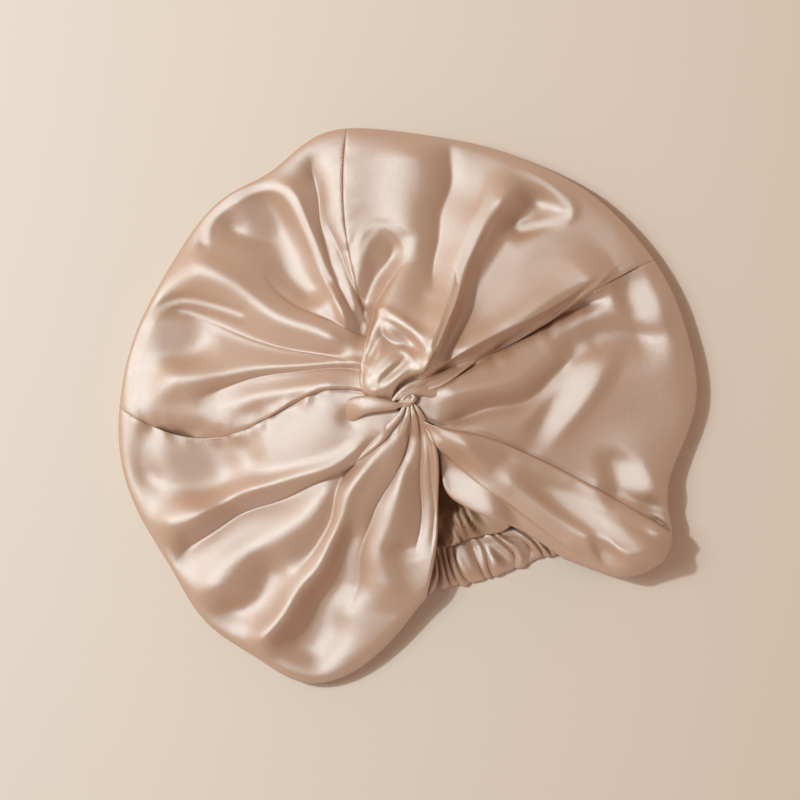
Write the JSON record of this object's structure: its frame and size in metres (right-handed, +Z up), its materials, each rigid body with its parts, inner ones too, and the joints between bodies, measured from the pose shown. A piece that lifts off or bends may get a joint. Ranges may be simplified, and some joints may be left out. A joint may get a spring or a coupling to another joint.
{
  "type": "sleep bonnet",
  "caption": "Satin sleep bonnet lying on its back: a puffed crown drawn into a front twist, a wrap crossing a brim band, and an elasticated gathered neck casing.",
  "frame": {"origin": "on the floor, under the middle of the bonnet's box as it lies on its back", "axes": "+Z up, out of the twist; -Y out of the head opening, towards the nape; +X towards the lifted corner of the brim band"},
  "size_m": [0.3444, 0.3304, 0.0528],
  "materials": {
    "satin": "glossy rose-beige satin",
    "satin_inside": "duller back of the satin"
  },
  "bodies": {
    "root": {"crown_left": "satin", "crown_right": "satin", "side_right": "satin", "brim_band": "satin", "wrap_left": "satin", "twist_lobe": "satin", "twist_knot": "satin", "neck_casing": "satin", "back_panel": "satin_inside"}
  },
  "joints": []
}
